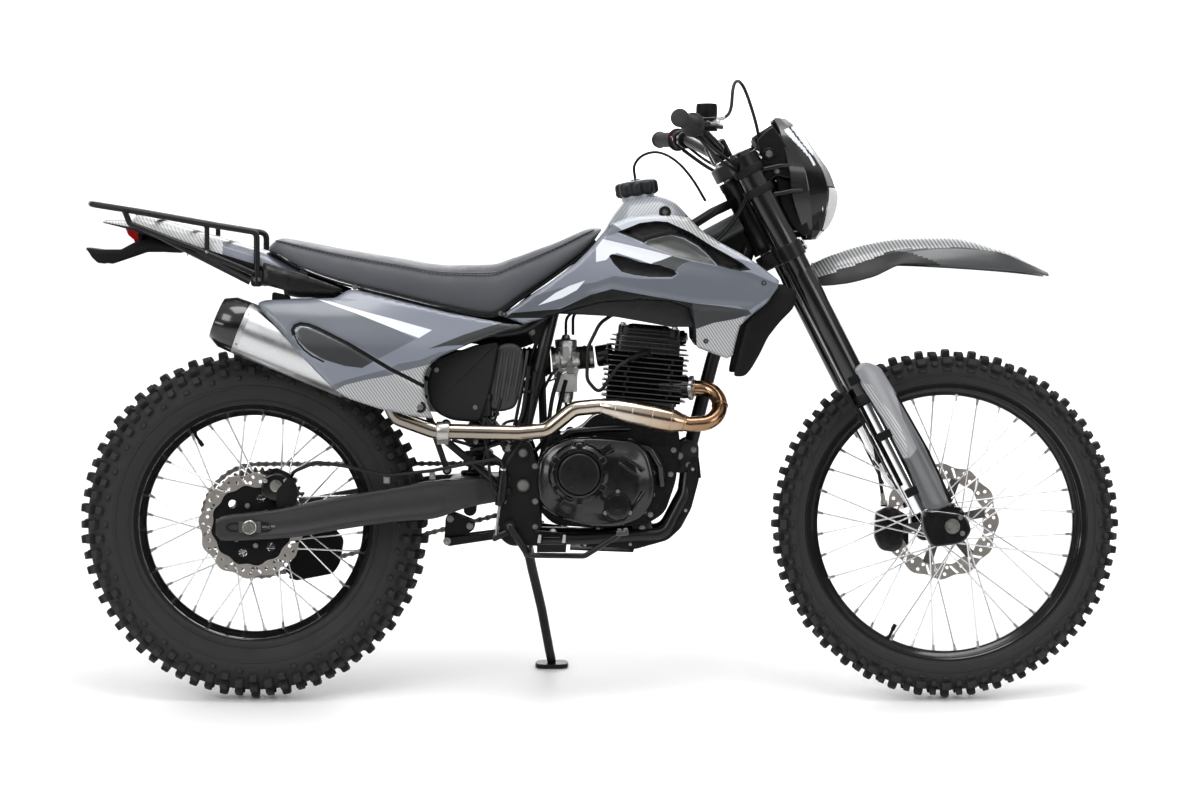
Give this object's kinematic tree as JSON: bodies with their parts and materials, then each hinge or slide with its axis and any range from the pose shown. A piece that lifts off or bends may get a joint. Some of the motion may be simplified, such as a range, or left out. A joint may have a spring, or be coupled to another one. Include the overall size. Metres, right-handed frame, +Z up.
{
  "type": "dual sport motorcycle",
  "caption": "Dual sport motorcycle with tall spoked wheels, knobby tyres, high front fender, flat seat, side-mounted muffler and tail rack, parked on its side stand.",
  "frame": {"origin": "on the ground under the middle of the overall box, as parked on the side stand", "axes": "+X towards the front of the machine, +Y to the rider's left, +Z up; the machine leans 8 degrees towards +Y"},
  "size_m": [2.0813, 0.8369, 1.2377],
  "materials": {
    "frame_grey": "satin",
    "frame_black": "satin",
    "arm_grey": "satin",
    "steel": "brushed",
    "zinc": "satin",
    "alloy": "satin",
    "alloy_black": "satin",
    "chrome": "polished",
    "header_steel": "heat tinted",
    "can_alloy": "brushed",
    "panel_grey": "gloss",
    "panel_black": "matt",
    "seat_vinyl": "soft grain",
    "rubber": "matt",
    "tyre": "matt",
    "lens_clear": "clear",
    "lens_red": "gloss"
  },
  "bodies": {
    "frame": {"frame_backbone": "frame_grey", "frame_cradle": "frame_black", "rear_subframe": "frame_black", "swingarm": "arm_grey", "rear_axle": "zinc", "chain_guide": "panel_black", "suspension_linkage": "arm_grey", "rear_shock": "steel", "engine_cases": "alloy_black", "front_sprocket": "steel", "drive_chain": "steel", "cylinder": "alloy_black", "cylinder_head": "alloy_black", "carburettor": "alloy", "airbox": "panel_black", "exhaust_header": "header_steel", "muffler": "can_alloy", "fuel_tank": "panel_black", "fuel_cap": "panel_black", "tank_shrouds": "panel_grey", "inner_scoops": "panel_black", "seat": "seat_vinyl", "side_panels": "panel_grey", "rear_fender": "panel_grey", "tail_sides": "panel_grey", "tail_light": "lens_red", "plate_holder": "panel_black", "luggage_rack": "frame_black", "foot_pegs": "zinc", "foot_controls": "steel", "skid_plate": "panel_black", "rear_caliper": "alloy_black", "tank_vent_hose": "rubber", "side_stand_bracket": "frame_black"},
    "side_stand": {"side_stand": "frame_black"},
    "steering": {"triple_clamps": "alloy_black", "fork_outer_tubes": "frame_black", "fork_lower_legs": "chrome", "front_axle": "zinc", "fork_guards": "panel_grey", "handlebar": "frame_black", "hand_grips": "rubber", "hand_controls": "panel_black", "instrument": "panel_black", "headlight_mask": "panel_black", "headlight_lens": "lens_clear", "front_fender": "panel_grey", "front_caliper": "alloy_black", "front_brake_hose": "rubber"},
    "front_wheel": {"front_tyre": "tyre", "front_rim": "alloy_black", "front_hub": "alloy_black", "front_spokes": "chrome", "front_brake_disc": "steel"},
    "rear_wheel": {"rear_tyre": "tyre", "rear_rim": "alloy_black", "rear_hub": "alloy_black", "rear_spokes": "chrome", "rear_brake_disc": "steel", "rear_sprocket": "steel"}
  },
  "joints": [
    {"name": "steering_turn", "type": "hinge", "parent": "frame", "child": "steering", "pos_m": [0.2525, -0.01062, 1.04206], "axis": [-0.4555, 0.1239, 0.8815], "range_deg": [-44, 40]},
    {"name": "side_stand_fold", "type": "hinge", "parent": "frame", "child": "side_stand", "pos_m": [-0.15, 0.0023, 0.28611], "axis": [0.2164, 0.9218, 0.3216], "range_deg": [0, 102.4]},
    {"name": "front_wheel_spin", "type": "hinge", "parent": "steering", "child": "front_wheel", "pos_m": [0.69096, -0.10585, 0.34673], "axis": [-0.0311, 0.9875, -0.1548], "continuous": true},
    {"name": "rear_wheel_spin", "type": "hinge", "parent": "frame", "child": "rear_wheel", "pos_m": [-0.691, -0.10829, 0.34709], "axis": [0, 0.9903, -0.1392], "continuous": true}
  ]
}
